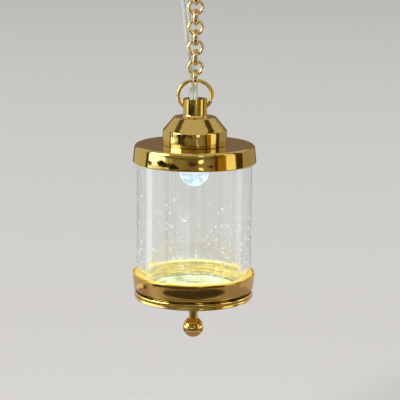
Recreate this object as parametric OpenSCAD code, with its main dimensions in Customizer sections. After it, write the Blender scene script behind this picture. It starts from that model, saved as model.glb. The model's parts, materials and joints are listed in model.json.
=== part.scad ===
// Small pendant lantern for a dolls' house ceiling, one twelfth scale.
// A brass screw eye and rose carry a chain of round links. The last link holds a jump ring that
// passes through the cross-drilled neck of the lantern: a bell, a cap, a clear tube with a lamp in
// its top, a cup, a base disc and a ball finial. A twin flex runs down behind the chain.
// Millimetres, +Z up. The origin is on the ceiling, on the axis of the screw.

/* [Ceiling rose] */
// Outer diameter of the rose
rose_d = 14; // [12:0.5:20]
// Height of the rose below the ceiling
rose_h = 3.6; // [3:0.1:5]
// Wall of the rose
rose_wall = 0.5; // [0.3:0.05:0.8]
// Height of the straight rim at the ceiling
rose_rim_h = 0.8; // [0.5:0.1:1.2]
// Diameter of the flat underside
rose_flat_d = 9.8; // [9:0.1:11]

/* [Screw eye] */
// Diameter of the screw that goes into the ceiling
screw_d = 0.9; // [0.7:0.05:1]
// Length of the screw above the ceiling
screw_l = 5; // [3:0.5:8]
// Diameter of the plain shank inside the rose
shank_d = 1.4; // [1.25:0.05:1.6]
// Diameter of the collar that clamps the rose
collar_d = 2.2; // [1.8:0.1:3]
// Thickness of that collar
collar_h = 0.35; // [0.2:0.05:0.6]
// Outer diameter of the eye
eye_od = 2.64; // [2.6:0.02:3.2]
// Wire of the eye
eye_wire = 0.5; // [0.4:0.05:0.6]

/* [Chain] */
// Number of links
link_count = 10; // [6:1:14]
// Outer diameter of a round link
link_od = 2.68; // [2.6:0.02:3]
// Thickness of a link's flattened wire, seen face-on
link_wire = 0.5; // [0.42:0.02:0.54]
// Width of that wire, seen edge-on
link_wide = 0.8; // [0.6:0.05:0.8]
// Running clearance where one piece hooks on another
hook_gap = 0.07; // [0.07:0.01:0.1]

/* [Jump ring] */
// Width of the slightly oval ring
ring_w = 6; // [5.9:0.05:6.2]
// Wire of the ring
ring_wire = 0.6; // [0.5:0.02:0.7]
// Radius of the tighter bends at the two sides
ring_side_r = 2.25; // [2.2:0.05:2.3]
// Width of the cut where the ring was closed
ring_cut = 0.22; // [0.1:0.02:0.4]
// Place of the cut, in degrees below level on the right
ring_cut_angle = 22; // [10:1:28]

/* [Neck] */
// Outer diameter of the neck tube
neck_d = 3.85; // [3.6:0.05:4]
// Wall of the neck tube
neck_wall = 0.45; // [0.35:0.05:0.5]
// Length of the neck above the bell
neck_h = 2.95; // [2.8:0.05:3.5]
// Length of the neck below the top face of the bell
neck_tail = 0.9; // [0.6:0.1:1.2]
// Height of neck left above the centre of the cross hole
neck_above_hole = 1.3; // [1.1:0.1:1.5]
// Clearance of the ring in the cross hole
cross_clear = 0.08; // [0.06:0.01:0.12]
// Radius of the fillet where the neck meets the bell
neck_fillet = 0.5; // [0.3:0.05:0.7]

/* [Bell] */
// Diameter of the skirt
bell_d = 10.4; // [9.5:0.1:12]
// Diameter of the top face
bell_top_d = 7; // [6:0.1:7.5]
// Height of the cone
bell_cone_h = 2.15; // [1.8:0.05:3]
// Height of the skirt
bell_skirt_h = 2.35; // [2:0.05:3]
// Wall of the bell
bell_wall = 0.5; // [0.4:0.05:0.6]
// Clearance between soldered or pressed pieces
seat_gap = 0.02; // [0.01:0.01:0.04]

/* [Cap and cup] */
// Diameter of a cup at its closed end
cup_d = 19.6; // [19.6:0.05:21]
// How much wider the open rim is in radius
cup_flare = 0.25; // [0.1:0.05:0.4]
// Depth of a cup over all
cup_h = 2.9; // [2.4:0.1:3.6]
// Wall of a cup
cup_wall = 0.35; // [0.25:0.05:0.35]
// Thickness of the closed end
cup_floor = 0.45; // [0.35:0.05:0.6]
// Outer radius of the rounded edge
cup_edge_r = 0.5; // [0.4:0.05:0.6]
// Inner radius of that edge, small so that the tube seats
cup_inner_edge_r = 0.05; // [0.02:0.01:0.08]

/* [Clear tube] */
// Outer diameter of the clear tube
tube_d = 18.7; // [18:0.1:18.7]
// Wall of the clear tube
tube_wall = 1.5; // [1:0.1:2]
// Length of the clear tube
tube_l = 23.2; // [18:0.2:30]

/* [Lamp] */
// Diameter of the lamp's round body
led_d = 4.8; // [4.6:0.1:5.2]
// Diameter of its flange
led_flange_d = 5.8; // [5.6:0.1:6.2]
// Thickness of its flange
led_flange_h = 1; // [0.8:0.1:1.2]
// Length of the lamp from the back of the flange to the tip
led_l = 7.8; // [7.6:0.1:8.8]
// Clearance of the lamp in the hole of the cap
led_clear = 0.05; // [0.03:0.01:0.1]
// Side of a square lead
lead_w = 0.5; // [0.4:0.05:0.6]
// Distance between the two leads
lead_pitch = 2.54; // [2.4:0.02:2.6]
// Length of a lead above the flange
lead_l = 1.3; // [1:0.1:1.5]
// Diameter of the reflector cup on the lead
reflector_d = 2; // [1.8:0.05:2.1]
// Depth of the reflector cup's block
reflector_h = 1; // [0.8:0.05:1.2]
// Diameter of a shrink sleeve
sleeve_d = 1.3; // [1.15:0.05:1.5]
// Length of a shrink sleeve
sleeve_l = 1.8; // [1.6:0.1:2]

/* [Base and finial] */
// Diameter of the base disc
base_d = 19.5; // [18:0.1:20]
// Thickness of the base disc
base_h = 1.1; // [0.8:0.05:1.5]
// Radius of its rounded edge
base_edge_r = 0.35; // [0.2:0.05:0.4]
// Height of the land that leaves the dark groove
land_h = 0.25; // [0.15:0.05:0.4]
// Diameter of that land
land_d = 17.8; // [16:0.1:18]
// Diameter of the finial's stem
stem_d = 1.5; // [1.4:0.05:2.4]
// Length of the stem above the ball
stem_l = 3.5; // [2.5:0.1:5]
// Diameter of the ball
ball_d = 3.4; // [2.8:0.1:4]
// Diameter of the rivet that holds the base together
rivet_d = 1.2; // [1:0.05:1.4]
// Diameter of the rivet's head inside the cup
rivet_head_d = 2.4; // [2:0.1:3]
// Height of the rivet's head
rivet_head_h = 0.35; // [0.25:0.05:0.5]

/* [Flex] */
// Diameter of one strand of the twin flex
strand_d = 0.7; // [0.6:0.02:0.72]
// Distance between the centres of the strands
strand_pitch = 0.68; // [0.6:0.02:0.7]
// Diameter of the bush's flange under the rose
bush_flange_d = 2.6; // [2.4:0.1:2.8]
// Height of the bush's flange
bush_flange_h = 0.4; // [0.3:0.05:0.6]
// Diameter of the bush's body in the rose
bush_d = 2; // [1.9:0.05:2.2]

/* [Hidden] */
$fn = 64;
link_names = ["chain_link_01", "chain_link_02", "chain_link_03", "chain_link_04",
  "chain_link_05", "chain_link_06", "chain_link_07", "chain_link_08", "chain_link_09",
  "chain_link_10", "chain_link_11", "chain_link_12", "chain_link_13", "chain_link_14"];

gold = [0.83, 0.66, 0.30];
pale_gold = [0.86, 0.72, 0.40];
clear = [0.82, 0.88, 0.86, 0.35];
flex_grey = [0.78, 0.78, 0.74];
lead_silver = [0.75, 0.76, 0.78];
phosphor_yellow = [0.95, 0.85, 0.35];
sleeve_black = [0.12, 0.12, 0.13];

// Levels, from the ceiling down
eye_stem_h = 0.15;
eye_stem_d = eye_wire;
eye_z = -rose_h - collar_h - eye_stem_h - eye_od/2;
eye_hook_z = eye_z - (eye_od - eye_wire)/2;
link_r = (link_od - link_wire)/2;
link_pitch = 2*link_r - link_wire - hook_gap;
link_1_z = eye_hook_z + (eye_wire + link_wire)/2 + hook_gap - link_r;
last_link_z = link_1_z - (link_count - 1)*link_pitch;
ring_hook_z = last_link_z - link_r;

// The ring's centre line is four arcs: two at the sides, and a wider one above and one below.
// The centres of neighbouring arcs lie on the long side of a 3-4-5 triangle, so the arcs meet.
side_x = (ring_w - ring_wire)/2 - ring_side_r;
wide_z = side_x*4/3;
ring_wide_r = ring_side_r + side_x*5/3;
ring_b = ring_wide_r - wide_z;
ring_turn = atan(3/4);
// The wide arcs run this many degrees into the side arcs, so that the ring is one piece
arc_lap = 0.01;
ring_z = ring_hook_z + (link_wire + ring_wire)/2 + hook_gap - ring_b;

// The cross hole in the neck clears the sloping wire at both faces of the wall
neck_r = neck_d/2;
neck_bore_r = neck_r - neck_wall;
function wire_z(x) = wide_z - sqrt(ring_wide_r*ring_wide_r - x*x);
function wire_half(x) = ring_wire/2/cos(asin(x/ring_wide_r));
cross_top = wire_z(neck_r) + wire_half(neck_r) + cross_clear;
cross_low = wire_z(neck_bore_r) - wire_half(neck_bore_r) - cross_clear;
cross_r = (cross_top - cross_low)/2;
cross_z = ring_z + (cross_top + cross_low)/2;
neck_top_z = cross_z + neck_above_hole;

bell_top_z = neck_top_z - neck_h;
cap_top_z = bell_top_z - bell_cone_h - bell_skirt_h;
tube_top_z = cap_top_z - cup_floor;
cup_low_z = tube_top_z - tube_l - cup_floor;
disc_top_z = cup_low_z - land_h;
disc_low_z = disc_top_z - base_h;
ball_z = disc_low_z - stem_l - ball_d/2;

led_back_z = cap_top_z + led_flange_h;
led_tip_z = led_back_z - led_l;
led_dome_z = led_tip_z + led_d/2;
lead_top_z = led_back_z + lead_l;
reflector_z = led_dome_z + 0.4;
sleeve_low_z = led_back_z + 0.3;
sleeve_top_z = sleeve_low_z + sleeve_l;
sleeve_bore_d = strand_d + 2*seat_gap;

// Place of the bush in the rose, and the middle line of the flex from inside the rose to the lamp
bush_xy = [-2.45, 1.8];
flex_route = [[-2.45, 1.8, -0.8], [-2.45, 1.8, -2.4], [-2.45, 1.8, -4.0], [-2.38, 1.8, -5.2],
  [-2.14, 1.8, -6.8], [-1.88, 1.8, -8.6], [-1.64, 1.8, -10.4], [-1.44, 1.8, -12.2],
  [-1.25, 1.8, -14.0], [-1.06, 1.8, -15.8], [-0.88, 1.8, -17.4], [-0.7, 1.8, -19.0],
  [-0.54, 1.8, -20.6], [-0.43, 1.7, -21.9], [-0.34, 1.4, -23.0], [-0.28, 1.02, -24.1],
  [-0.26, 0.8, -25.2], [-0.25, 0.72, -26.2], [-0.2, 0.66, -27.3], [-0.05, 0.3, -28.3]];

// Points of an arc about a centre in a profile
function arc(centre, r, from, to, steps = 6) =
  [for (i = [0:steps]) let (a = from + (to - from)*i/steps) centre + r*[cos(a), sin(a)]];

// One turn of round wire in the XZ plane, centred on the origin
module wire_ring(middle_r, wire) {
  rotate([90, 0, 0])
    rotate_extrude()
      translate([middle_r, 0])
        circle(d = wire);
}

// One turn of flattened wire with round edges in the XZ plane, centred on the origin
module strip_ring(middle_r, thick, wide) {
  rotate([90, 0, 0])
    rotate_extrude()
      translate([middle_r, 0]) {
        for (side = [-1, 1])
          translate([0, side*(wide - thick)/2])
            circle(d = thick);
        square([thick, wide - thick], center = true);
      }
}

// Part of a turn of round wire in the XZ plane, evenly to both sides of a direction
module wire_arc(middle_r, wire, direction, half_turn) {
  rotate([90, 0, 0])
    rotate([0, 0, direction - half_turn])
      rotate_extrude(angle = 2*half_turn)
        translate([middle_r, 0])
          circle(d = wire);
}

// A turned piece from its half profile
module turned(points) {
  rotate_extrude()
    polygon(points);
}

module ceiling_rose() {
  outer_r = rose_d/2;
  flat_r = rose_flat_d/2;
  sweep = outer_r - flat_r;
  drop = rose_h - rose_rim_h;
  bend = [for (i = [0:8]) let (a = 90*i/8) [flat_r + sweep*cos(a), -rose_rim_h - drop*sin(a)]];
  inner_r = outer_r - rose_wall;
  inner_flat_r = flat_r - rose_wall/2;
  inner_sweep = inner_r - inner_flat_r;
  inner_bend = [for (i = [8:-1:0]) let (a = 90*i/8)
    [inner_flat_r + inner_sweep*cos(a), -rose_rim_h - (drop - rose_wall)*sin(a)]];
  hole_r = shank_d/2 + seat_gap;
  color(gold)
    difference() {
      turned(concat([[outer_r, 0]], bend, [[hole_r, -rose_h], [hole_r, -rose_h + rose_wall]],
        inner_bend, [[inner_r, 0]]));
      translate([bush_xy[0], bush_xy[1], -rose_h - 0.1])
        cylinder(d = bush_d + 2*seat_gap, h = rose_wall + 0.2);
    }
}

module screw_eye() {
  point_l = 1;
  color(gold) {
    cylinder(d = screw_d, h = screw_l - point_l);
    translate([0, 0, screw_l - point_l])
      cylinder(d1 = screw_d, d2 = 0.1, h = point_l);
    translate([0, 0, -rose_h])
      cylinder(d = shank_d, h = rose_h);
    translate([0, 0, -rose_h - collar_h])
      cylinder(d = collar_d, h = collar_h);
    translate([0, 0, eye_z + eye_od/2 - eye_wire/2])
      cylinder(d = eye_stem_d, h = eye_stem_h + eye_wire/2);
    translate([0, 0, eye_z])
      rotate([0, 0, 90])
        wire_ring((eye_od - eye_wire)/2, eye_wire);
  }
}

module flex_bush() {
  strands_r = strand_d/2 + seat_gap;
  grip_h = 0.5;
  color(clear)
    translate([bush_xy[0], bush_xy[1], -rose_h])
      difference() {
        union() {
          translate([0, 0, -bush_flange_h])
            cylinder(d = bush_flange_d, h = bush_flange_h);
          cylinder(d = bush_d, h = rose_wall);
          translate([0, 0, rose_wall])
            cylinder(d = bush_flange_d, h = grip_h);
        }
        for (side = [-1, 1])
          translate([side*strand_pitch/2, 0, -bush_flange_h - 0.1])
            cylinder(r = strands_r, h = bush_flange_h + rose_wall + grip_h + 0.2);
      }
}

// Route of one strand: beside the middle line, then apart into its sleeve
function strand_route(side) = concat(
  [for (p = flex_route) p + [side*strand_pitch/2, 0, 0]],
  [[side*lead_pitch*0.42, 0.05, (sleeve_top_z - 28.3)/2], [side*lead_pitch/2, 0, sleeve_top_z],
   [side*lead_pitch/2, 0, lead_top_z]]);

// Direction of a route at one of its points
function heading(route, i) =
  let (d = route[min(i + 1, len(route) - 1)] - route[max(i - 1, 0)]) d/norm(d);

// Eight points round a route's point, square to the route
function section(route, i, r) =
  let (t = heading(route, i), u0 = cross([0, 1, 0], t), u = u0/norm(u0), v = cross(t, u))
  [for (k = [0:7]) route[i] + r*(cos(45*k + 22.5)*u + sin(45*k + 22.5)*v)];

module strand(route) {
  rings = len(route);
  points = [for (i = [0:rings - 1]) each section(route, i, strand_d/2)];
  sides = [for (i = [0:rings - 2]) for (k = [0:7])
    [8*i + k, 8*i + (k + 1)%8, 8*i + 8 + (k + 1)%8, 8*i + 8 + k]];
  ends = [[for (k = [7:-1:0]) k], [for (k = [0:7]) 8*(rings - 1) + k]];
  polyhedron(points = points, faces = concat(sides, ends), convexity = 6);
}

module twin_flex() {
  color(flex_grey) {
    strand(strand_route(-1));
    strand(strand_route(1));
  }
}

// Links lie face-on and edge-on in turn, each one hooked over the wire of the one above
module chain_link(number) {
  if (number <= link_count)
    color(gold)
      translate([0, 0, link_1_z - (number - 1)*link_pitch])
        rotate([0, 0, number%2 == 1 ? 0 : 90])
          strip_ring(link_r, link_wire, link_wide);
}

// One side of the ring and its wide upper arc; the other side and the lower arc mirror them
module ring_side() {
  translate([side_x, 0, 0])
    wire_arc(ring_side_r, ring_wire, 0, 90 - ring_turn);
}

module ring_top() {
  translate([0, 0, -wide_z])
    wire_arc(ring_wide_r, ring_wire, 90, ring_turn + arc_lap);
}

module jump_ring() {
  color(gold)
    translate([0, 0, ring_z])
      difference() {
        union() {
          ring_side();
          ring_top();
          mirror([1, 0, 0])
            ring_side();
          mirror([0, 0, 1])
            ring_top();
        }
        translate([side_x, 0, 0])
          rotate([0, ring_cut_angle, 0])
            translate([ring_side_r - 1, -1, -ring_cut/2])
              cube([2, 2, ring_cut]);
      }
}

module neck_tube() {
  fillet_r = neck_r + neck_fillet;
  foot = arc([fillet_r, bell_top_z + neck_fillet], neck_fillet, 180, 270);
  color(gold)
    difference() {
      turned(concat([[neck_bore_r, bell_top_z - neck_tail], [neck_bore_r, neck_top_z],
        [neck_r, neck_top_z]], foot, [[neck_r, bell_top_z], [neck_r, bell_top_z - neck_tail]]));
      translate([0, 0, cross_z])
        rotate([0, 90, 0])
          cylinder(r = cross_r, h = 2*neck_r + 1, center = true);
    }
}

module bell() {
  hole_r = neck_r + seat_gap;
  skirt_r = bell_d/2;
  shoulder_z = bell_top_z - bell_cone_h;
  inner_r = skirt_r - bell_wall;
  inner_top_r = bell_top_d/2 - bell_wall/2;
  color(pale_gold)
    turned([[hole_r, bell_top_z], [bell_top_d/2 - 0.1, bell_top_z],
      [bell_top_d/2, bell_top_z - 0.1], [skirt_r - 0.06, shoulder_z + 0.06],
      [skirt_r, shoulder_z - 0.06], [skirt_r, cap_top_z], [inner_r, cap_top_z],
      [inner_r, shoulder_z - bell_wall/4], [inner_top_r, bell_top_z - bell_wall],
      [hole_r, bell_top_z - bell_wall]]);
}

// A pressed cup, open upwards, standing with its closed end at z = 0
module pressed_cup(hole_d) {
  outer_r = cup_d/2;
  rim_r = outer_r + cup_flare;
  inner_r = outer_r - cup_wall;
  outer_edge = arc([outer_r - cup_edge_r, cup_edge_r], cup_edge_r, -90, 0);
  lip = cup_wall/2;
  rim = arc([rim_r - lip, cup_h - lip], lip, 0, 180);
  inner_edge = arc([inner_r - cup_inner_edge_r, cup_floor + cup_inner_edge_r],
    cup_inner_edge_r, 0, -90, 3);
  turned(concat([[hole_d/2, 0]], outer_edge, rim, inner_edge, [[hole_d/2, cup_floor]]));
}

module top_cap() {
  color(pale_gold)
    translate([0, 0, cap_top_z])
      mirror([0, 0, 1])
        pressed_cup(led_d + 2*led_clear);
}

module bottom_cup() {
  color(pale_gold)
    translate([0, 0, cup_low_z])
      pressed_cup(rivet_d + 2*seat_gap);
}

module clear_tube() {
  color(clear)
    translate([0, 0, tube_top_z - tube_l])
      difference() {
        cylinder(d = tube_d, h = tube_l);
        translate([0, 0, -1])
          cylinder(d = tube_d - 2*tube_wall, h = tube_l + 2);
      }
}

// Inside of the lamp: a flat post under each lead, one of them with the reflector cup
module cathode_post() {
  translate([lead_pitch/2 - lead_w/2, -lead_w/2, reflector_z])
    cube([lead_w, lead_w, led_back_z - reflector_z]);
  translate([0, -lead_w/2, reflector_z])
    cube([lead_pitch/2, lead_w, reflector_h]);
  translate([0, 0, reflector_z])
    cylinder(d = reflector_d, h = reflector_h);
}

module anode_post() {
  low_z = reflector_z + reflector_h*1.5;
  translate([-lead_pitch/2 - lead_w/2, -lead_w/2, low_z])
    cube([lead_w, lead_w, led_back_z - low_z]);
}

module reflector_hollow() {
  translate([0, 0, reflector_z - 0.01])
    cylinder(d1 = reflector_d*0.8, d2 = reflector_d*0.45, h = reflector_h*0.6);
}

module lead(side) {
  translate([side*lead_pitch/2 - lead_w/2, -lead_w/2, led_back_z])
    cube([lead_w, lead_w, lead_l]);
}

module led_lens() {
  color(clear)
    difference() {
      union() {
        translate([0, 0, cap_top_z])
          cylinder(d = led_flange_d, h = led_flange_h);
        translate([0, 0, led_dome_z])
          cylinder(d = led_d, h = cap_top_z - led_dome_z);
        intersection() {
          translate([0, 0, led_dome_z])
            sphere(d = led_d);
          translate([0, 0, led_tip_z - 1])
            cylinder(d = led_d + 1, h = led_d/2 + 1);
        }
      }
      cathode_post();
      anode_post();
    }
}

module led_cathode() {
  color(lead_silver)
    difference() {
      union() {
        cathode_post();
        lead(1);
      }
      reflector_hollow();
    }
}

module led_anode() {
  color(lead_silver) {
    anode_post();
    lead(-1);
  }
}

module led_phosphor() {
  color(phosphor_yellow)
    intersection() {
      reflector_hollow();
      translate([0, 0, reflector_z])
        cylinder(d = reflector_d, h = reflector_h);
    }
}

// Shrink sleeve over a soldered joint: it grips the lead below and the strand above
module sleeve(side) {
  color(sleeve_black)
    translate([side*lead_pitch/2, 0, sleeve_low_z])
      difference() {
        cylinder(d = sleeve_d, h = sleeve_l);
        translate([0, 0, -0.1])
          cylinder(d = sleeve_bore_d, h = sleeve_l + 0.2);
      }
}

module sleeve_left() {
  sleeve(-1);
}

module sleeve_right() {
  sleeve(1);
}

module base_disc() {
  r = base_d/2;
  e = base_edge_r;
  upper = arc([r - e, disc_top_z - e], e, 90, 0);
  lower = arc([r - e, disc_low_z + e], e, 0, -90);
  hole_r = rivet_d/2 + seat_gap;
  color(gold)
    turned(concat([[hole_r, cup_low_z], [land_d/2, cup_low_z], [land_d/2, disc_top_z]], upper,
      lower, [[hole_r, disc_low_z]]));
}

module finial() {
  floor_z = cup_low_z + cup_floor;
  color(gold) {
    translate([0, 0, ball_z])
      sphere(d = ball_d);
    translate([0, 0, ball_z])
      cylinder(d = stem_d, h = disc_low_z - ball_z);
    translate([0, 0, disc_low_z])
      cylinder(d = rivet_d, h = floor_z - disc_low_z);
    translate([0, 0, floor_z])
      cylinder(d1 = rivet_head_d, d2 = rivet_head_d*0.6, h = rivet_head_h);
  }
}

ceiling_rose();
screw_eye();
flex_bush();
twin_flex();
for (i = [1:14]) chain_link(i);
jump_ring();
neck_tube();
bell();
top_cap();
clear_tube();
led_lens();
led_cathode();
led_anode();
led_phosphor();
sleeve_left();
sleeve_right();
bottom_cup();
base_disc();
finial();
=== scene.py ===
# The dolls' house ceiling lantern, dressed over its construction model. Metres, +Z up; the
# origin is on the ceiling, on the axis of the screw. Lengths below are in millimetres until
# they reach mm().
import json
import math
import random

import bpy
from mathutils import Matrix, Vector

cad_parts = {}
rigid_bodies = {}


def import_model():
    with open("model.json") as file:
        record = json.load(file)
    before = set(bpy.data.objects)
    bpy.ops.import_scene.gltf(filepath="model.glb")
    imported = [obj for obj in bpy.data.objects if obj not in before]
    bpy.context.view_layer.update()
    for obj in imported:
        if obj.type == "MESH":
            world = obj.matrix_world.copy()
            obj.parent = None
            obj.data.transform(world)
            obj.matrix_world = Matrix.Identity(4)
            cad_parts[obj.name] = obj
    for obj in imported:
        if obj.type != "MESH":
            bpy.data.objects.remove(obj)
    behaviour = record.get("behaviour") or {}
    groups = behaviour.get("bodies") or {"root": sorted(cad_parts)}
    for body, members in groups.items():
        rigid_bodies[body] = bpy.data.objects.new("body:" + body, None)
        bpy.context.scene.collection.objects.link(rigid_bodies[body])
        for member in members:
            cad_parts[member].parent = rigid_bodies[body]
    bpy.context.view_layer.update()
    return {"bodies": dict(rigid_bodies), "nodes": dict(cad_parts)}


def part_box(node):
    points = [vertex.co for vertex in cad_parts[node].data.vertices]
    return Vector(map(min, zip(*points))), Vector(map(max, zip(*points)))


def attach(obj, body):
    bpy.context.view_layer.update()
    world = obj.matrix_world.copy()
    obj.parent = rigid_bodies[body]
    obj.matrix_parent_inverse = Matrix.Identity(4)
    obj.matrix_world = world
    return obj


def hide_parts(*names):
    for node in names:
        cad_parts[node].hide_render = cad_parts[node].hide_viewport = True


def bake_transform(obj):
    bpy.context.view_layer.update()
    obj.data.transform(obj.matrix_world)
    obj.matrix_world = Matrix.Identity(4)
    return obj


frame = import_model()
NODES = frame["nodes"]
BODIES = list(frame["bodies"])
scene = bpy.context.scene
scene.view_settings.view_transform = "Standard"
random.seed(7)


def mm(*values):
    """Millimetres as a vector in metres."""
    return Vector([value / 1000 for value in values])


def foot_of(node):
    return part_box(node)[0][2] * 1000


def top_of(node):
    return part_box(node)[1][2] * 1000


# Sizes and levels of the construction model, from the frame
CHAIN = sorted(name for name in NODES if name.startswith("chain_link_"))
LINK_Z = [(top_of(link) + foot_of(link)) / 2 for link in CHAIN]
BUSH_FOOT_Z = foot_of("flex_bush")
NECK_TOP_Z = top_of("neck_tube")
SLEEVE_TOP_Z = top_of("sleeve_left")
LEAD_X = (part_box("sleeve_right")[0][0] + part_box("sleeve_right")[1][0]) * 1000 / 2
LED_TIP_Z = foot_of("led_lens")
CAP_TOP_Z = top_of("top_cap")
CAP_RIM_Z = foot_of("top_cap")
TUBE_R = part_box("clear_tube")[1][0] * 1000
CUP_RIM_Z = top_of("bottom_cup")
CUP_FLOOR_Z = foot_of("clear_tube")
CUP_FOOT_Z = foot_of("bottom_cup")
DISC_FOOT_Z = foot_of("base_disc")

# Sizes that the frame doesn't tell. The route is the middle of the twin flex, as in the model
LED_R = 2.4
STRAND_R = 0.35
STRAND_PITCH = 0.68
HALFWAY_SPREAD = 0.84
HALFWAY_Y = 0.05
SLEEVE_GRIP = 0.8
FLEX_ROUTE = [(-2.45, 1.8, -0.8), (-2.45, 1.8, -2.4), (-2.45, 1.8, -4.0), (-2.38, 1.8, -5.2),
              (-2.14, 1.8, -6.8), (-1.88, 1.8, -8.6), (-1.64, 1.8, -10.4), (-1.44, 1.8, -12.2),
              (-1.25, 1.8, -14.0), (-1.06, 1.8, -15.8), (-0.88, 1.8, -17.4), (-0.7, 1.8, -19.0),
              (-0.54, 1.8, -20.6), (-0.43, 1.7, -21.9), (-0.34, 1.4, -23.0), (-0.28, 1.02, -24.1),
              (-0.26, 0.8, -25.2), (-0.25, 0.72, -26.2), (-0.2, 0.66, -27.3), (-0.05, 0.3, -28.3)]


# Helpers for materials
def bsdf_of(material):
    return material.node_tree.nodes["Principled BSDF"]


def shader(name, color, roughness=0.5, metallic=0.0, **sockets):
    material = bpy.data.materials.new(name)
    material.use_nodes = True
    bsdf = bsdf_of(material)
    bsdf.inputs["Base Color"].default_value = (*color, 1)
    bsdf.inputs["Roughness"].default_value = roughness
    bsdf.inputs["Metallic"].default_value = metallic
    for key, value in sockets.items():
        bsdf.inputs[key.replace("_", " ")].default_value = value
    return material


def feed(material, socket, value):
    """Links the socket to the output of another node, or sets a plain value on it."""
    if isinstance(value, bpy.types.NodeSocket):
        material.node_tree.links.new(value, socket)
    else:
        socket.default_value = value


def add(material, kind, **inputs):
    """A new node. Inputs are numbers, colours, or output sockets of other nodes."""
    made = material.node_tree.nodes.new("ShaderNode" + kind)
    for key, value in inputs.items():
        feed(material, made.inputs[key.replace("_", " ")], value)
    return made


def plug(material, **sockets):
    """Links outputs of nodes to the surface."""
    for key, value in sockets.items():
        material.node_tree.links.new(value, bsdf_of(material).inputs[key.replace("_", " ")])


def place_of(material, stretch=(1, 1, 1)):
    """The point on the object in metres, stretched along each axis."""
    coord = add(material, "TexCoord")
    return add(material, "Mapping", Vector=coord.outputs["Object"], Scale=stretch).outputs["Vector"]


def height_of(material):
    """The height of the point on the object, in millimetres."""
    point = place_of(material, (1000, 1000, 1000))
    return add(material, "SeparateXYZ", Vector=point).outputs["Z"]


def noise(material, cells, detail=2.0, stretch=(1, 1, 1), roughness=0.5):
    """Soft noise, with so many cells in a metre."""
    made = add(material, "TexNoise", Vector=place_of(material, stretch), Scale=cells, Detail=detail,
               Roughness=roughness)
    return made.outputs["Fac"]


def spread_to(material, value, low, high, start=0.3, end=0.7):
    """The value's stretch from start to end, spread from low to high."""
    made = add(material, "MapRange", Value=value, From_Min=start, From_Max=end, To_Min=low, To_Max=high)
    return made.outputs["Result"]


def blend_of(material, share, first, second):
    """A colour between two, each given as a colour or as the output of a node."""
    share_input, first_input, second_input, color_output = 0, 6, 7, 2
    made = material.node_tree.nodes.new("ShaderNodeMix")
    made.data_type = "RGBA"
    feed(material, made.inputs[share_input], share)
    for place, color in ((first_input, first), (second_input, second)):
        linked = isinstance(color, bpy.types.NodeSocket)
        feed(material, made.inputs[place], color if linked else (*color, 1))
    return made.outputs[color_output]


def ramp(material, value, *stops):
    """A row of colours along a value from 0 to 1."""
    made = add(material, "ValToRGB", Fac=value)
    row = made.color_ramp.elements
    while len(row) < len(stops):
        row.new(0.5)
    for element, (position, _) in zip(row, stops):
        element.position = position
    for element, (_, color) in zip(row, stops):
        element.color = (*color, 1)
    return made.outputs["Color"]


def bump(material, height, distance, under=None):
    """Distance is the height of the relief in millimetres."""
    made = add(material, "Bump", Height=height, Distance=distance / 1000, Strength=1.0)
    if under:
        material.node_tree.links.new(under, made.inputs["Normal"])
    return made.outputs["Normal"]


def crown(material, middle, half, height):
    """Relief of a wall that bulges round a level, all in millimetres. Below 0 it is flattened."""
    value = height_of(material)
    for operation, number in (("SUBTRACT", middle), ("DIVIDE", half), ("POWER", 2), ("MINIMUM", 1)):
        made = material.node_tree.nodes.new("ShaderNodeMath")
        made.operation = operation
        material.node_tree.links.new(value, made.inputs[0])
        made.inputs[1].default_value = number
        value = made.outputs[0]
    made = add(material, "Bump", Height=value, Distance=abs(height) / 1000, Strength=1.0)
    made.invert = height > 0
    return made.outputs["Normal"]


def worn(material, cells, detail, low, high):
    """The material, with a roughness that wanders between two values."""
    plug(material, Roughness=spread_to(material, noise(material, cells, detail), low, high))
    return material


def uneven(material, cells, detail, relief, stretch=(1, 1, 1)):
    """The material, with a shallow relief in millimetres."""
    plug(material, Normal=bump(material, noise(material, cells, detail, stretch), relief))
    return material


# Gold plate
GOLD = (0.84, 0.60, 0.17)
TARNISH = (0.70, 0.44, 0.13)
# Black of the seams: painted shade in the gaps between parts, with some grime
GAP_SHADE_AND_GRIME = (0.02, 0.012, 0.004)


def gold_plate(name, ripple, ripple_cells=260, wall=None, seam=None, color=GOLD, tarnish=TARNISH,
               roughness=(0.07, 0.15)):
    """Thin bright plate on pressed brass: rippled, with fine rubbing and a little dull film.
    A wall is the level of a bulge, half its height and its relief. A seam is the level where
    the plate is clean, and the one where it is black: painted shade of the gap between two parts, with
    some grime. Roughness is that of clean and dull plate."""
    material = shader(name, color, roughness[0], 1.0)
    film = noise(material, 420, detail=5.0, roughness=0.65)
    rubbed = noise(material, 2600, detail=3.0, stretch=(1, 1, 0.25))
    waves = noise(material, ripple_cells, detail=1.5)
    under = crown(material, *wall) if wall else None
    shades = blend_of(material, spread_to(material, film, 0.0, 0.55, 0.5, 0.75), color, tarnish)
    # Painted shade: the plate goes black at a seam, for the shadow in a gap between parts, with some
    # grime
    if seam:
        gap_shade_and_grime_share = spread_to(material, height_of(material), 0, 1, *seam)
        shades = blend_of(material, gap_shade_and_grime_share, shades, GAP_SHADE_AND_GRIME)
    plug(material,
         Base_Color=shades,
         Roughness=spread_to(material, film, *roughness, 0.4, 0.75),
         Normal=bump(material, rubbed, 0.0006, bump(material, waves, ripple, under)))
    return material


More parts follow.
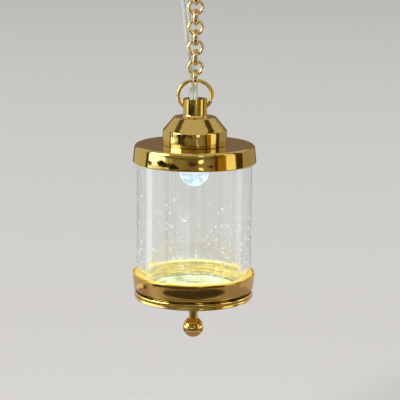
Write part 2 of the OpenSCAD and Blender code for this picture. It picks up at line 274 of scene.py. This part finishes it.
gold = gold_plate("polished_gold_plate", 0.05)
cap_gold = gold_plate("polished_gold_cap", 0.07, 240, wall=(CAP_RIM_Z + 1.25, 1.2, 0.045))
# Painted shade at the seams: under the rim of the bell, and in the groove between the cup and the disc
bell_gold = gold_plate("polished_gold_bell", 0.10, 300, wall=(CAP_TOP_Z, 2.6, 0.06),
                       seam=(CAP_TOP_Z + 0.09, CAP_TOP_Z + 0.02))
cup_gold = gold_plate("polished_gold_cup", 0.10, 200, wall=(CUP_RIM_Z - 1.35, 1.2, 0.05),
                      seam=(CUP_FOOT_Z + 0.235, CUP_FOOT_Z + 0.095))
disc_gold = gold_plate("polished_gold_disc", 0.25, 240, wall=(DISC_FOOT_Z + 0.55, 0.55, -0.25),
                       seam=(CUP_FOOT_Z - 0.265, CUP_FOOT_Z - 0.145))
chain_gold = gold_plate("chain_gold_plate", 0.10, 1100, color=(0.93, 0.76, 0.40),
                        tarnish=(0.74, 0.52, 0.22), roughness=(0.14, 0.3))


# Inside of the cups
def turned_brass(name, color, film, pale, streaks):
    """Turned grooves round the axis, dulled by glue. Streaks are how flat the smears are."""
    material = shader(name, color, 0.36, 0.6, Anisotropic=0.8, Anisotropic_Rotation=0.25)
    across = add(material, "Tangent")
    across.direction_type = "RADIAL"
    across.axis = "Z"
    grooves = add(material, "TexWave", Vector=place_of(material), Scale=205, Distortion=1.5,
                  Detail=1.5, Detail_Scale=1.2)
    grooves.wave_type = "RINGS"
    grooves.rings_direction = "Z"
    smear = noise(material, 420, detail=3.0, stretch=(1, 1, streaks))
    rings = spread_to(material, grooves.outputs["Fac"], 0, 1, 0.15, 0.75)
    patches = spread_to(material, smear, 0, 1, 0.38, 0.62)
    shades = blend_of(material, rings, color, film)
    plug(material,
         Base_Color=blend_of(material, patches, shades, pale),
         Tangent=across.outputs["Tangent"],
         Roughness=spread_to(material, smear, 0.24, 0.46),
         Normal=bump(material, grooves.outputs["Fac"], 0.10, bump(material, smear, 0.05)))
    return material


# The floor's pale green-white colours are partly painted light, the lamp's light pooled on it; its
# patches are glue
turned_floor = turned_brass("turned_brass_floor", (0.34, 0.40, 0.17), film=(0.62, 0.76, 0.52),
                            pale=(0.80, 0.92, 0.76), streaks=1)
glued_wall = turned_brass("glued_brass_wall", (0.30, 0.14, 0.0), film=(0.60, 0.36, 0.0),
                          pale=(0.84, 0.62, 0.03), streaks=9)


# Clear tube
def drawn_acrylic(name, relief, **coat):
    """Drawn tube: faint lines along it, and a very fine relief."""
    material = shader(name, (0.975, 1.0, 0.99), 0.0, IOR=1.49, Transmission_Weight=1.0, **coat)
    drawn = noise(material, 900, stretch=(1, 1, 0.015))
    lines = spread_to(material, noise(material, 1700, stretch=(1, 1, 0.008)), 0, 1, 0.52, 0.72)
    plug(material,
         Base_Color=blend_of(material, lines, (0.985, 1.0, 0.99), (0.88, 0.92, 0.89)),
         Normal=bump(material, drawn, relief))
    return material


acrylic = drawn_acrylic("clear_acrylic", relief=0.007)
acrylic_bore = drawn_acrylic("clear_acrylic_bore", relief=0.010, Coat_Weight=1.0, Coat_IOR=2.0,
                             Coat_Roughness=0.04)


# Lamp
def lamp_lens():
    """A clear lens that glows in bands from its tip up, with brighter flares."""
    glow_height = 2.55
    lens = shader("lamp_lens", (0.07, 0.10, 0.13), 0.03, IOR=1.5, Transmission_Weight=0.2,
                  Emission_Strength=1.0)
    down = spread_to(lens, height_of(lens), 0, 1, LED_TIP_Z + glow_height, LED_TIP_Z)
    bands = ramp(lens, down, (0.0, (0.90, 0.94, 0.96)), (0.10, (0.46, 0.60, 0.74)),
                 (0.25, (0.58, 0.76, 0.88)), (0.50, (0.38, 0.58, 0.74)),
                 (0.75, (0.50, 0.76, 0.88)), (1.0, (0.66, 0.90, 0.95)))
    flare = noise(lens, 900, detail=1.0, stretch=(1, 1, 1.4))
    flare = spread_to(lens, flare, 0, 0.9, 0.47, 0.6)
    plug(lens, Emission_Color=blend_of(lens, flare, bands, (0.90, 0.96, 0.97)))
    return lens


clear_lens = lamp_lens()
phosphor = shader("lamp_phosphor", (0.95, 0.90, 0.60), 0.6,
                  Emission_Color=(0.92, 0.98, 1.0, 1), Emission_Strength=1.8)
tinned = worn(shader("tinned_leads", (0.62, 0.63, 0.65), 0.3, 1.0),
              cells=1500, detail=3.0, low=0.2, high=0.42)
sleeve_black = uneven(shader("shrink_sleeve", (0.02, 0.02, 0.022), 0.45),
                      cells=1800, detail=2.0, relief=0.01)


# Flex and its bush
def cloudy_vinyl():
    """Clear vinyl gone a little cloudy."""
    sheath = shader("flex_sheath", (0.78, 0.82, 0.77), 0.16, IOR=1.5, Transmission_Weight=0.22)
    cloud = noise(sheath, 500, detail=3.0, stretch=(1, 1, 0.3))
    shades = blend_of(sheath, spread_to(sheath, cloud, 0, 1), (0.58, 0.66, 0.61), (0.84, 0.87, 0.81))
    plug(sheath, Base_Color=shades, Roughness=spread_to(sheath, cloud, 0.1, 0.28))
    return sheath


flex_sheath = cloudy_vinyl()
flex_core = uneven(shader("flex_core", (0.58, 0.56, 0.50), 0.35, 1.0),
                   cells=3000, detail=1.0, relief=0.02, stretch=(1, 1, 0.4))
bush_plastic = worn(shader("bush_plastic", (0.80, 0.80, 0.76), 0.3, Transmission_Weight=0.3),
                    cells=900, detail=2.0, low=0.25, high=0.42)

# Glue and scratches. The seam glue and the scratches glow with painted light
glue = uneven(shader("clear_glue", (0.90, 0.78, 0.50), 0.45, IOR=1.3, Transmission_Weight=0.6),
              cells=1500, detail=2.0, relief=0.03)
# The seam glue glows: painted light, for the lamp's light carried through it
glowing_seam_glue = uneven(shader("glowing_seam_glue", (0.66, 0.53, 0.18), 0.4, IOR=1.3, Transmission_Weight=0.25,
                          Emission_Color=(1.0, 0.78, 0.20, 1), Emission_Strength=0.25),
                   cells=1100, detail=2.0, relief=0.04)
# The scratches glow a little: a painted glint of light caught in them
glinting_scratches = worn(shader("tube_scratches", (0.96, 0.97, 0.96), 0.5, Transmission_Weight=0.4,
                    Emission_Color=(0.92, 1.0, 1.0, 1), Emission_Strength=0.3),
             cells=4000, detail=2.0, low=0.35, high=0.7)


# Materials of the construction model
def dress(node, material):
    data = NODES[node].data
    data.materials.clear()
    data.materials.append(material)
    for face in data.polygons:
        face.material_index = 0


def dress_inside(node, material, inside):
    """The faces of a node whose middle, in millimetres, and normal pass the test get this material."""
    data = NODES[node].data
    data.materials.append(material)
    for face in data.polygons:
        if inside(face.center * 1000, face.normal):
            face.material_index = len(data.materials) - 1


def faces_axis(point, normal, least=0.0):
    """True where more than the least part of a face's normal points to the axis."""
    return normal.x * point.x + normal.y * point.y < -least * math.hypot(point.x, point.y)


# The radius of the turned floor, and a depth inside the pressed plate of both cups
TURNED_R = 9
PLATE_DEPTH = 0.2


def on_cup_floor(point, normal):
    above = point.z > CUP_FOOT_Z + PLATE_DEPTH
    return above and normal.z > 0.5 and math.hypot(point.x, point.y) < TURNED_R


def on_cup_wall(point, normal):
    """The corner, the wall and the rim round the floor of the lower cup."""
    above = point.z > CUP_FOOT_Z + PLATE_DEPTH
    upward = normal.z > 0.5 and math.hypot(point.x, point.y) > TURNED_R
    return above and (upward or faces_axis(point, normal))


def in_cap(point, normal):
    """The ceiling, the wall and the rim of the cap, as seen from below."""
    return point.z < CAP_TOP_Z - PLATE_DEPTH and (normal.z < -0.5 or faces_axis(point, normal))


COATS = {"ceiling_rose": gold, "screw_eye": gold, "jump_ring": gold, "neck_tube": gold,
         "finial": gold, "bell": bell_gold, "base_disc": disc_gold, "top_cap": cap_gold,
         "bottom_cup": cup_gold, "flex_bush": bush_plastic, "clear_tube": acrylic,
         "led_lens": clear_lens, "led_phosphor": phosphor, "led_cathode": tinned,
         "led_anode": tinned, "sleeve_left": sleeve_black, "sleeve_right": sleeve_black}
COATS.update((link, chain_gold) for link in CHAIN)
for node, material in COATS.items():
    dress(node, material)
dress_inside("bottom_cup", turned_floor, on_cup_floor)
dress_inside("bottom_cup", glued_wall, on_cup_wall)
dress_inside("top_cap", glued_wall, in_cap)
dress_inside("finial", turned_floor, lambda point, normal: point.z > CUP_FLOOR_Z)
dress_inside("clear_tube", acrylic_bore, lambda point, normal: faces_axis(point, normal, 0.5))


# Helpers for meshes
def mesh_object(name, vertices, faces, *materials):
    """A new object of the scene. Vertices are in millimetres."""
    data = bpy.data.meshes.new(name)
    data.from_pydata([mm(*vertex) for vertex in vertices], [], faces)
    for material in materials:
        data.materials.append(material)
    made = bpy.data.objects.new(name, data)
    scene.collection.objects.link(made)
    return made


def piece(name, vertices, faces, materials, slot, body=None, indices=None, smooth=True):
    """A piece of the part. Indices are the material of each face."""
    made = mesh_object(name, vertices, faces, *materials)
    if indices:
        made.data.polygons.foreach_set("material_index", indices)
    made.data.update()
    if smooth:
        made.data.shade_smooth()
    if body:
        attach(made, body)
    return made


def join(parts):
    """Vertices and faces of several parts, as one."""
    vertices, faces = [], []
    for more_vertices, more_faces in parts:
        start = len(vertices)
        vertices += more_vertices
        faces += [tuple(start + corner for corner in face) for face in more_faces]
    return vertices, faces


def round_axis(angle, radius, z):
    """A point on a circle round the axis. The angle is in radians, to the right from the front."""
    return radius * math.sin(angle), -radius * math.cos(angle), z


def smooth_route(points, step):
    """Points about every step along a Catmull-Rom curve through the given ones."""
    points = [Vector(point) for point in points]
    ends = [2 * points[0] - points[1]] + points + [2 * points[-1] - points[-2]]
    out = []
    for a, b, c, d in zip(ends, ends[1:], ends[2:], ends[3:]):
        count = max(1, round((c - b).length / step))
        for k in range(count):
            t = k / count
            out.append(0.5 * (2 * b + (c - a) * t + (2 * a - 5 * b + 4 * c - d) * t * t
                              + (3 * b - a - 3 * c + d) * t ** 3))
    return out + [points[-1]]


def sweep(route, radius, sides, closed):
    """Vertices and faces of a round tube along a route that runs mostly along Z."""
    vertices, faces = [], []
    for i, point in enumerate(route):
        heading = (route[min(i + 1, len(route) - 1)] - route[max(i - 1, 0)]).normalized()
        across = Vector((0, 1, 0)).cross(heading).normalized()
        upright = heading.cross(across)
        for k in range(sides):
            angle = 2 * math.pi * k / sides
            vertices.append(point + radius * (math.cos(angle) * across + math.sin(angle) * upright))
    for i in range(len(route) - 1):
        for k in range(sides):
            j = (k + 1) % sides
            faces.append((i * sides + k, i * sides + j, (i + 1) * sides + j, (i + 1) * sides + k))
    if closed:
        faces.append(tuple(range(sides - 1, -1, -1)))
        faces.append(tuple(range((len(route) - 1) * sides, len(route) * sides)))
    return vertices, faces


# Twin flex: one stretch for each joint, cut from both strands between two levels. The
# stretches meet at the middles of the links, and at a level between the last link and the neck
CORE_R = STRAND_R * 0.45
ROUTE_STEP = 0.22
BEND_START_Z = BUSH_FOOT_Z - 0.3
RING_CUT_Z = -23.15
BELOW_ALL = -99.0


def strand_route(side):
    """The way of one strand, at the side -1 or 1, from inside the rose to its sleeve."""
    route = [(x + side * STRAND_PITCH / 2, y, z) for x, y, z in FLEX_ROUTE]
    halfway = (side * LEAD_X * HALFWAY_SPREAD, HALFWAY_Y, (SLEEVE_TOP_Z + FLEX_ROUTE[-1][2]) / 2)
    return route + [halfway, (side * LEAD_X, 0, SLEEVE_TOP_Z),
                    (side * LEAD_X, 0, SLEEVE_TOP_Z - SLEEVE_GRIP)]


def crossing(strand, level):
    """The point where a strand passes a level, in a list that is empty if it doesn't."""
    return [a.lerp(b, (a.z - level) / (a.z - b.z))
            for a, b in zip(strand, strand[1:]) if a.z >= level > b.z]


def stretch_of(strand, high, low):
    inside = [point for point in strand if low < point.z < high]
    return crossing(strand, high) + inside + crossing(strand, low)


strands = [smooth_route(strand_route(side), ROUTE_STEP) for side in (-1, 1)]
cuts = [0.0] + LINK_Z + [RING_CUT_Z, BELOW_ALL]
bends = [BEND_START_Z] + LINK_Z + [RING_CUT_Z, NECK_TOP_Z]
last = len(BODIES) - 2
for number in range(last + 1):
    closed = number in (0, last)
    parts, indices = [], []
    for strand in strands:
        route = stretch_of(strand, cuts[number], cuts[number + 1])
        for index, radius, sides in ((0, STRAND_R, 16), (1, CORE_R, 10)):
            parts.append(sweep(route, radius, sides, closed))
            indices += [index] * len(parts[-1][1])
    flex = piece("twin_flex_%02d" % (number + 1), *join(parts), [flex_sheath, flex_core],
                 "flex_plastic", indices=indices)
    start, end = bends[number], bends[number + 1]
    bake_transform(flex)
    if number == 0:
        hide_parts("twin_flex")

# Thread of the screw eye
THREAD_PITCH = 0.42
THREAD_LENGTH = 2.6
THREAD_FOOT_Z = 0.35
THREAD_ROOT_R = 0.40
THREAD_LOW_R = 0.43
THREAD_RISE = 0.14
THREAD_FLANK = 0.10


def thread():
    """Vertices and faces of a sharp ridge that fades out over the first and the last turn."""
    turn = 20
    count = int(turn * THREAD_LENGTH / THREAD_PITCH)
    vertices, faces = [], []
    for k in range(count + 1):
        angle = 2 * math.pi * k / turn
        z = THREAD_FOOT_Z + THREAD_PITCH * k / turn
        crest = THREAD_LOW_R + THREAD_RISE * min(1.0, k / turn, (count - k) / turn)
        profile = ((THREAD_ROOT_R, -THREAD_FLANK), (crest, 0.0), (THREAD_ROOT_R, THREAD_FLANK))
        for radius, lift in profile:
            vertices.append((radius * math.cos(angle), radius * math.sin(angle), z + lift))
    for k in range(count):
        for j in range(3):
            i = (j + 1) % 3
            faces.append((3 * k + j, 3 * k + 3 + j, 3 * k + 3 + i, 3 * k + i))
    faces += [(0, 1, 2), (3 * count + 2, 3 * count + 1, 3 * count)]
    return vertices, faces


piece("screw_thread", *thread(), [gold], "plated_brass", "ceiling_fitting", smooth=False)

# Marks on the tube, each with its angle to the right of the front, its level, half width, half
# height and lean. The first ones are given one by one
MARK_RELIEF = 0.04
MARK_FOOT_Z = -53.4
marks = [(-19.5, -39.9, 0.10, 0.16, 20), (-23.8, -42.0, 0.09, 0.12, 0), (-27.7, -40.8, 0.08, 0.18, 30),
         (-9.4, -43.1, 0.34, 0.12, -10), (-22.2, -44.2, 0.38, 0.07, -22), (4.8, -43.8, 0.10, 0.11, 0),
         (28.9, -41.4, 0.10, 0.13, 0), (39.1, -41.3, 0.09, 0.10, 0), (24.4, -42.0, 0.08, 0.10, 0),
         (30.0, -42.0, 0.10, 0.12, 40), (21.7, -44.2, 0.13, 0.14, 0), (34.8, -44.4, 0.10, 0.10, 0),
         (14.9, -46.9, 0.12, 0.12, 0), (22.3, -46.3, 0.12, 0.10, 0), (-43.0, -48.4, 0.42, 0.05, -16)]


def mark(angle, z, half_width, half_height, lean):
    """A mark at a place, with each of its sizes and its lean drawn between two values."""
    return (angle, z, random.uniform(*half_width), random.uniform(*half_height),
            random.uniform(*lean))


# A cloud to the right of the front
for _ in range(70):
    marks.append(mark(random.gauss(26, 20), random.triangular(MARK_FOOT_Z, -41.5, -50.5),
                      (0.04, 0.12), (0.04, 0.14), (-60, 60)))
# A slanting band to the left of it
for _ in range(34):
    share = random.random()
    marks.append(mark(-34 + 26 * share + random.gauss(0, 3.5),
                      -42.5 - 8.5 * share + random.gauss(0, 0.9),
                      (0.04, 0.12), (0.03, 0.09), (-50, 30)))
# Small ones all over the front
for _ in range(40):
    marks.append(mark(random.uniform(-62, 62), random.triangular(MARK_FOOT_Z, -38.0, -52.0),
                      (0.03, 0.08), (0.03, 0.09), (-60, 60)))
# Taller ones at both sides
for _ in range(24):
    marks.append(mark(random.choice((-1, 1)) * random.uniform(62, 92),
                      random.triangular(MARK_FOOT_Z, -40.0, -52.0),
                      (0.05, 0.12), (0.05, 0.16), (-30, 30)))
# The back
for _ in range(60):
    marks.append(mark(random.uniform(60, 300), random.triangular(-53.2, -38.0, -50.0),
                      (0.04, 0.10), (0.04, 0.12), (-60, 60)))


def bead(angle, z, half_width, half_height, lean, relief):
    """Vertices and faces of one flat drop that stands on the tube, with its rim just inside it."""
    angle = math.radians(angle)
    lean = math.radians(lean)
    out = Vector((math.sin(angle), -math.cos(angle), 0))
    along = Vector((math.cos(angle), math.sin(angle), 0))
    upright = Vector((0, 0, 1))
    side = along * math.cos(lean) + upright * math.sin(lean)
    top = upright * math.cos(lean) - along * math.sin(lean)
    middle = out * TUBE_R + upright * z
    around = 8
    vertices = [middle + out * relief]
    for ring, share in ((0.62, 0.72), (1.0, -0.1)):
        for k in range(around):
            turn = 2 * math.pi * k / around
            vertices.append(middle + out * relief * share + side * half_width * ring * math.cos(turn)
                            + top * half_height * ring * math.sin(turn))
    faces = [(0, 1 + k, 1 + (k + 1) % around) for k in range(around)]
    faces += [(1 + k, 1 + around + k, 1 + around + (k + 1) % around, 1 + (k + 1) % around)
              for k in range(around)]
    faces.append(tuple(range(2 * around, around, -1)))
    return vertices, faces


piece("tube_marks", *join([bead(*row, MARK_RELIEF) for row in marks]), [glinting_scratches], "clear_acrylic",
      "lantern")

# Glue between the tube and the lower cup: an uneven seam, and clear drops along it
SEAM_Z = CUP_RIM_Z - 0.05


def seam():
    """Vertices and faces of a ring that fills the gap and climbs the tube, most at both sides."""
    around = 240
    vertices, faces = [], []
    for k in range(around):
        angle = 2 * math.pi * k / around
        # From 0 at the front and the back to 1 at both sides
        thick = min(1, max(0, 4 * abs(math.sin(angle)) - 2.8))
        rise = 0.13 + 0.6 * thick * thick * (3 - 2 * thick)
        rise += 0.05 * math.sin(5 * angle + 1) + 0.04 * math.sin(13 * angle)
        rise += 0.04 * math.sin(31 * angle + 2)
        profile = ((0.005, rise), (0.12, 0.35 * rise), (0.31, -0.04), (0.27, -0.35), (0.005, -0.35))
        for out, lift in profile:
            vertices.append(round_axis(angle, TUBE_R + out, SEAM_Z + lift))
    corners = len(profile)
    for k in range(around):
        j = (k + 1) % around
        for i in range(corners):
            h = (i + 1) % corners
            faces.append((corners * k + i, corners * k + h, corners * j + h, corners * j + i))
    return vertices, faces


def random_drop():
    return bead(random.uniform(-180, 180), SEAM_Z + random.uniform(-0.4, 0.2),
                random.uniform(0.2, 0.8), random.uniform(0.05, 0.16), random.uniform(-12, 12),
                random.uniform(0.04, 0.12))


piece("glue_seam", *seam(), [glowing_seam_glue], "clear_acrylic", "lantern")
piece("glue_drops", *join([random_drop() for _ in range(46)]), [glue], "clear_acrylic", "lantern")

# Camera. Its lens and place were fitted to the rims, the chain and the ball in the photograph
FRAME_PX = 400
FOCAL_PX = 1600
SENSOR_WIDTH = 36
CAMERA_DISTANCE = 261.2
CAMERA_PITCH = math.radians(11.18)
CAMERA_ROLL = math.radians(0.55)
CAMERA_TARGET = (0.94, 0, -41.59)
camera_data = bpy.data.cameras.new("camera")
camera_data.sensor_width = SENSOR_WIDTH
camera_data.lens = SENSOR_WIDTH * FOCAL_PX / FRAME_PX
camera_data.clip_start = 0.01
camera_data.clip_end = 50
camera = bpy.data.objects.new("camera", camera_data)
scene.collection.objects.link(camera)
forward = Vector((0, math.cos(CAMERA_PITCH), -math.sin(CAMERA_PITCH)))
up = Vector((0, math.sin(CAMERA_PITCH), math.cos(CAMERA_PITCH)))
right = Vector((1, 0, 0))
rolled_right = right * math.cos(CAMERA_ROLL) + up * math.sin(CAMERA_ROLL)
rolled_up = up * math.cos(CAMERA_ROLL) - right * math.sin(CAMERA_ROLL)
place = mm(*CAMERA_TARGET) - forward * CAMERA_DISTANCE / 1000
axes = Matrix((rolled_right, rolled_up, -forward)).transposed()
camera.matrix_world = Matrix.Translation(place) @ axes.to_4x4()
scene.camera = camera

# Stage: a pale floor, a soft world and two soft lamps
FLOOR_Z = -92
FLOOR_HALF = 4000
floor = mesh_object("floor", [(-FLOOR_HALF, -FLOOR_HALF, FLOOR_Z), (FLOOR_HALF, -FLOOR_HALF, FLOOR_Z),
                              (FLOOR_HALF, FLOOR_HALF, FLOOR_Z), (-FLOOR_HALF, FLOOR_HALF, FLOOR_Z)],
                    [(0, 1, 2, 3)], shader("pale_floor", (0.61, 0.60, 0.585), 0.8))

world = bpy.data.worlds.new("studio")
world.use_nodes = True
scene.world = world
background = world.node_tree.nodes["Background"]
background.inputs["Color"].default_value = (0.80, 0.79, 0.77, 1)
background.inputs["Strength"].default_value = 0.66


def new_light(name, kind, energy, at):
    data = bpy.data.lights.new(name, kind)
    data.energy = energy
    light = bpy.data.objects.new(name, data)
    scene.collection.objects.link(light)
    light.location = mm(*at)
    return light


def soft_lamp(name, at, width, energy):
    """A square lamp that is aimed at the lantern and isn't seen in reflections."""
    aim = (0, 200, -60)
    light = new_light(name, "AREA", energy, at)
    light.data.shape = "RECTANGLE"
    light.data.size = light.data.size_y = width / 1000
    light.rotation_euler = (mm(*aim) - mm(*at)).to_track_quat("-Z", "Y").to_euler()
    light.visible_glossy = False


soft_lamp("key", (-1500, -1500, 2000), 900, 55.0)
soft_lamp("fill", (1800, -900, 900), 1200, 20.0)


# Soft boxes and flags stand round the object, as in any product studio. They show only in
# reflections. Angles are in degrees to the right from the front, heights and distances from the
# axis in millimetres. Where two boards overlap, the nearer one hides the other
GROUND_Z = -91
WINDOW = (1.0, 0.95, 0.8)
DARK = (0.012, 0.008, 0.0)
STRIP = (0.88, 1.0, 0.92)


def board(name, vertices, faces, color, strength=1.0):
    material = shader(name, (0, 0, 0), 1, Specular_IOR_Level=0, Emission_Color=(*color, 1),
                      Emission_Strength=strength)
    made = mesh_object(name, vertices, faces, material)
    made.visible_camera = made.visible_diffuse = made.visible_transmission = False
    made.visible_shadow = made.visible_volume_scatter = False


def ring_strip(from_angle, to_angle, first, second):
    """A strip round the axis between two circles, each given as (radius, height)."""
    usual_step = 6
    steps = max(1, round((to_angle - from_angle) / usual_step))
    vertices, faces = [], []
    for k in range(steps + 1):
        angle = math.radians(from_angle + (to_angle - from_angle) * k / steps)
        vertices += [round_axis(angle, *circle) for circle in (first, second)]
    for k in range(steps):
        faces.append((2 * k, 2 * k + 2, 2 * k + 3, 2 * k + 1))
    return vertices, faces


def card(name, from_angle, to_angle, low, high, color, strength=1.0, distance=150):
    """An upright board between two angles and two heights."""
    board(name, *ring_strip(from_angle, to_angle, (distance, low), (distance, high)), color, strength)


def oval(name, angle, half_angle, z, half_height, color, strength=1.0, distance=148, wobble=0.0):
    """An upright oval that faces the axis. Wobble makes its outline uneven."""
    count = 24
    vertices = []
    for k in range(count):
        turn = 2 * math.pi * k / count
        share = 1 + wobble * (math.sin(3 * turn + z) + 0.6 * math.sin(5 * turn + angle))
        vertices.append(round_axis(math.radians(angle + half_angle * share * math.cos(turn)), distance,
                                   z + half_height * share * math.sin(turn)))
    board(name, vertices, [tuple(range(count))], color, strength)


def flat(name, from_angle, to_angle, first, second, color):
    """A board on the ground between two circles, each given as (radius, height)."""
    board(name, *ring_strip(from_angle, to_angle, first, second), color)


# The front is dark, because it is the camera's side. Each board has two angles and a colour
FRONT = [(-54, -29, (0.26, 0.23, 0.15)), (-29, -18, (0.24, 0.21, 0.15)),
         (-18, 5, (0.20, 0.17, 0.12)), (5, 14, (0.19, 0.17, 0.14)), (14, 29, (0.27, 0.25, 0.19)),
         (29, 37, (0.22, 0.18, 0.10)), (37, 42, (0.06, 0.025, 0.0)), (42, 59, (0.31, 0.18, 0.02))]
for k, (start, end, color) in enumerate(FRONT):
    card("front_%d" % k, start, end, GROUND_Z, 60, color)
oval("front_shade_left", -41, 14, -35, 7.5, DARK, wobble=0.12)
oval("front_shade_middle", -3, 10, -24, 7, (0.05, 0.03, 0.015), wobble=0.2)
oval("front_shade_right", 29.5, 6, -33, 3.5, DARK, wobble=0.1)
oval("front_window_third", 9, 3, -52, 1.6, WINDOW, 0.9)
oval("front_window_fourth", 9, 3.5, -66, 2.2, WINDOW, 0.7)
card("left_window", -92, -52, -6, 85, (1.0, 0.98, 0.88), 7.0, distance=148)
oval("front_window", 12, 5.5, -18.5, 5, WINDOW, 2.2)
oval("front_window_low", 12, 5, -41, 4.2, WINDOW, 1.5)
for k in range(4):
    card("haze_%d" % k, -40 + 5 * k, 8 - 5 * k, -80 - 2 * k, -67 - k, (0.74, 0.80, 1.0),
         0.3 + 0.5 * k, distance=147 - k)
card("front_top_spot", 8, 16, 70, 110, (1.0, 0.95, 0.85), 1.5, distance=149)

# Soft boxes at both sides, with lighter and darker parts before the left one
card("right_softbox", 59, 80, GROUND_Z, 150, (1.08, 1.05, 0.76))
card("left_softbox", -92, -54, -41, 60, (1.6, 1.85, 2.5), 1.3)
card("left_softbox_edge", -54, -40, -34, -14, (0.55, 0.52, 0.34))
card("left_softbox_low", -96, -62, GROUND_Z, -41, (1.1, 1.2, 1.5))
card("left_softbox_mid", -94, -62, -59, -50, (1.7, 1.9, 2.4), distance=149)
card("left_cream", -76, -46, -45, -40, (1.1, 1.05, 0.8), distance=147)
card("left_neck_shade", -62, -8, -50, -44, (0.02, 0.01, 0.0), distance=148.5)
oval("left_shade_thin", -58, 24, -50, 2.4, DARK, distance=147, wobble=0.08)
oval("left_shade", -57.6, 10.8, -34.1, 3.6, DARK, distance=60, wobble=0.05)
oval("left_shade_low", -84, 4.5, -36.9, 1.8, DARK, distance=60, wobble=0.1)
card("left_dark_low", -62, -54, GROUND_Z, -51, (0.07, 0.055, 0.04))

# A dark band along the front and both sides, then flags and strips of light beside the soft boxes
card("left_shelf", -98, -54, -14, -9, (0.08, 0.06, 0.03), distance=149)
card("front_shelf", -54, 59, -14, -9, (0.07, 0.055, 0.03), distance=149)
card("right_shelf", 59, 98, -14, -9, (0.09, 0.06, 0.02), distance=149)
card("right_side_flag", 80, 98, -62, 40, (0.06, 0.035, 0.0))
card("left_side_flag", -100, -92, -62, 40, (0.05, 0.04, 0.02))
card("right_top_flag", 78, 104, 40, 260, (0.08, 0.055, 0.01))
card("left_top_flag", -108, -86, 40, 260, (0.09, 0.08, 0.05))
for k in range(3):
    card("right_strip_%d" % k, 88 + 3 * k, 112 - 3 * k, GROUND_Z, -58, STRIP, 1.0 + 0.7 * k,
         distance=149 - k)
    card("left_strip_%d" % k, -112 + 3 * k, -86 - 3 * k, GROUND_Z, -58, STRIP, 1.4 + 1.2 * k,
         distance=149 - k)

# Back
card("left_back", -150, -100, -60, 40, (0.54, 0.52, 0.44))
card("right_back", 98, 150, -60, 40, (0.37, 0.33, 0.26))
card("back_flag", 150, 210, -60, 40, (0.20, 0.15, 0.11))
card("back_flag_low", 160, 200, GROUND_Z, -60, (0.42, 0.40, 0.37))

# Brown ground round the axis, with lighter and darker parts: painted light and shade on the cloth,
# which shows only in reflections
flat("brown_cloth", -180, 180, (0.5, GROUND_Z), (148, -90.5), (0.34, 0.265, 0.28))
flat("cloth_behind", 96, 264, (100, -90.6), (148, -90.3), (0.50, 0.42, 0.44))
flat("cloth_left", -98, -56, (60, -90.75), (148, -90.35), (0.41, 0.33, 0.34))
flat("cloth_left_lit", -88, -66, (60, -90.7), (148, -90.3), (0.49, 0.42, 0.44))
flat("cloth_left_edge", -108, -50, (127, -90.2), (148, -90.1), (1.3, 1.25, 1.2))
flat("cloth_fold_deep", -81, 58, (105, -90.2), (127, -90.1), (0.03, 0.02, 0.0))
flat("cloth_right_edge", 61, 84, (120, -90.2), (148, -90.1), (1.0, 0.85, 0.5))
flat("cloth_front_edge", 7, 13, (124, -90.2), (140, -90.1), WINDOW)
flat("cloth_left_fold", -140, -108, (96, -90.2), (108, -90.0), (0.85, 0.75, 0.6))
flat("cloth_mark", -107, -97, (92, -90.2), (104, -90.0), (0.08, 0.05, 0.02))
flat("cloth_fold", -180, 180, (35, -90.8), (41, -90.8), (0.85, 0.75, 0.50))
flat("cloth_fold_shade", -180, 180, (45, -90.8), (60, -90.8), (0.12, 0.085, 0.04))


def painted_shadow_patch():
    """Vertices and faces of a long oval on the ground before the lantern, bent round the axis: a
    painted shadow, seen only in reflections.
    """
    around = 40
    z = GROUND_Z + 1
    middle_angle, half_angle = 1, 61
    middle_r, half_width = 81, 20
    vertices = [(0, -80, z)]
    for k in range(around):
        turn = 2 * math.pi * k / around
        angle = math.radians(middle_angle + half_angle * math.cos(turn))
        vertices.append(round_axis(angle, middle_r + half_width * math.sin(turn), z))
    return vertices, [(0, 1 + k, 1 + (k + 1) % around) for k in range(around)]


# A painted shadow on the ground before the lantern
board("painted_shadow_patch", *painted_shadow_patch(), (0.05, 0.04, 0.03))


# Light of the lamp: a glow all round, and a beam down to the floor of the cup
def lamp_light(name, kind, energy, color, radius):
    light = new_light(name, kind, energy, (0, 0, LED_TIP_Z + LED_R))
    light.data.color = color
    light.data.shadow_soft_size = radius / 1000
    light.visible_camera = light.visible_transmission = False
    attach(light, "lantern")
    return light


glow = lamp_light("lamp_glow", "POINT", 0.012, (0.88, 1.0, 0.96), LED_R + 0.1)
beam = lamp_light("lamp_beam", "SPOT", 0.03, (0.95, 1.0, 1.0), 0.6)
beam.data.spot_size = math.radians(30)
beam.data.spot_blend = 1.0

# The light doesn't fall on the lamp itself, and neither the lamp nor the tube shades it
LAMP_NODES = ["led_lens", "led_phosphor", "led_cathode", "led_anode"]
lamp_itself = bpy.data.collections.new("lamp_itself")
for name in LAMP_NODES:
    lamp_itself.objects.link(NODES[name])
for entry in lamp_itself.collection_objects:
    entry.light_linking.link_state = "EXCLUDE"
for light in (glow, beam):
    light.light_linking.receiver_collection = lamp_itself
for name in LAMP_NODES + ["clear_tube"]:
    NODES[name].visible_shadow = False
